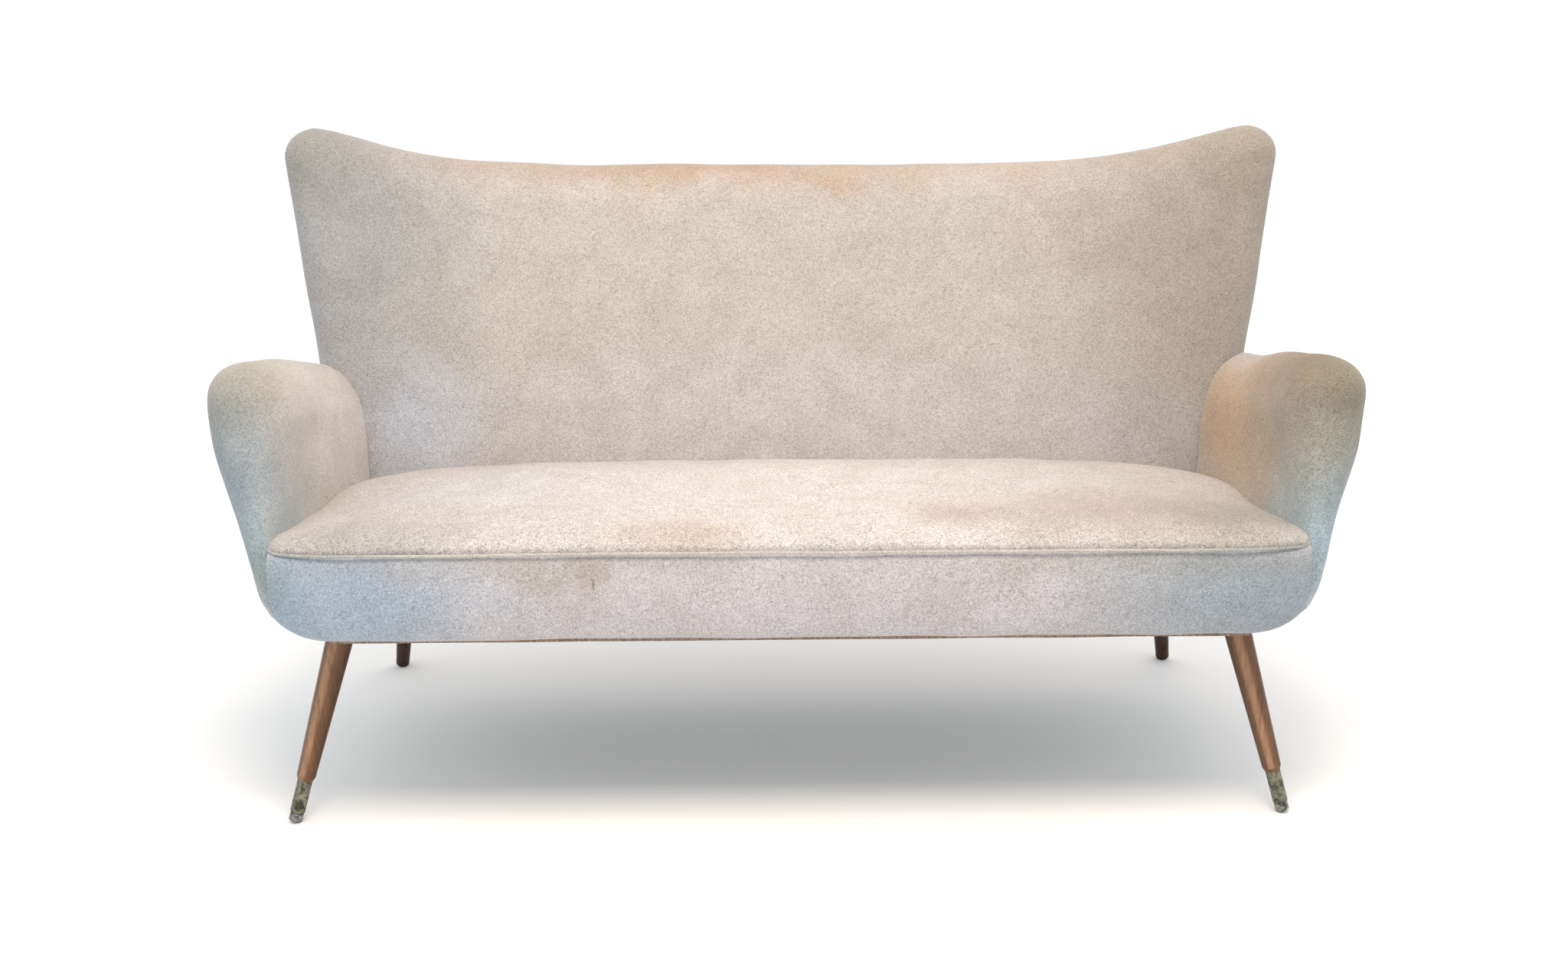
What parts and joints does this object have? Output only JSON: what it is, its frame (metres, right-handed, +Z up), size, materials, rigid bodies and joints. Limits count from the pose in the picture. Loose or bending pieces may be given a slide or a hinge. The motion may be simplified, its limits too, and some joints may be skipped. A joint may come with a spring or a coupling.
{
  "type": "wing-back sofa",
  "caption": "Three-seat sofa with fixed upholstery, a tall wing back, flared rounded arms, a piped crowned seat and splayed tapered legs with metal feet.",
  "frame": {"origin": "middle of the footprint on the floor", "axes": "+X to the sofa's left-hand side as one sits (right in the front view), +Y to the back, +Z up; the seat faces -Y"},
  "size_m": [1.6812, 0.7999, 0.977],
  "materials": {
    "back_fabric": "looped wool pile, pale beige grey",
    "arm_fabric": "looped wool pile, pale beige grey",
    "seat_fabric": "looped wool pile, cream beige, worn flatter",
    "front_fabric": "looped wool pile, cool grey in shade",
    "welt_fabric": "same cloth cut on the bias over a cord",
    "padding": "cotton felt and fibre padding",
    "jute": "plain woven jute",
    "dust_cloth": "thin black lining cloth",
    "tack_strip": "brown pressed board",
    "frame_wood": "unfinished beech",
    "leg_wood": "brown stained and lacquered beech",
    "brass": "tarnished brass with grey-green patina",
    "steel": "plain zinc-grey steel"
  },
  "bodies": {
    "sofa": {"arm_bolts": "steel", "arm_cover_left": "arm_fabric", "arm_cover_right": "arm_fabric", "arm_padding_left": "padding", "arm_padding_right": "padding", "arm_post_left": "frame_wood", "arm_post_right": "frame_wood", "arm_rail_left": "frame_wood", "arm_rail_right": "frame_wood", "back_padding": "padding", "back_post_left": "frame_wood", "back_post_right": "frame_wood", "back_webbing": "jute", "centre_brace": "frame_wood", "centre_stile": "frame_wood", "crest_rail": "frame_wood", "dust_cover": "dust_cloth", "dust_cover_staples": "steel", "ferrule_left": "brass", "ferrule_right": "brass", "frame_screws": "steel", "front_border_cover": "front_fabric", "front_border_padding": "padding", "front_leg_block_left": "frame_wood", "front_leg_block_right": "frame_wood", "front_leg_left": "leg_wood", "front_leg_right": "leg_wood", "front_rail": "frame_wood", "front_tack_strip": "tack_strip", "hanger_bolts": "steel", "inside_back_cover": "back_fabric", "leg_plates": "steel", "outside_back_cover": "back_fabric", "plate_screws": "steel", "rear_leg_block_left": "frame_wood", "rear_leg_block_right": "frame_wood", "rear_leg_left": "leg_wood", "rear_leg_right": "leg_wood", "rear_rail": "frame_wood", "seat_cover": "seat_fabric", "seat_hessian": "jute", "seat_padding": "padding", "seat_springs": "steel", "seat_welt": "welt_fabric", "side_rail_left": "frame_wood", "side_rail_right": "frame_wood", "spring_clips": "steel", "tack_rail": "frame_wood", "wing_blocks_left": "frame_wood", "wing_blocks_right": "frame_wood", "wing_board_left": "frame_wood", "wing_board_right": "frame_wood"},
    "left_foot": {"levelling_foot_left": "brass"},
    "right_foot": {"levelling_foot_right": "brass"}
  },
  "joints": [
    {"name": "right_foot_screw", "type": "slide", "parent": "sofa", "child": "right_foot", "axis": [0.2738, -0.1146, -0.9549], "range_m": [0, 0.008]},
    {"name": "left_foot_screw", "type": "slide", "parent": "sofa", "child": "left_foot", "axis": [-0.2738, -0.1146, -0.9549], "range_m": [0, 0.008]}
  ]
}
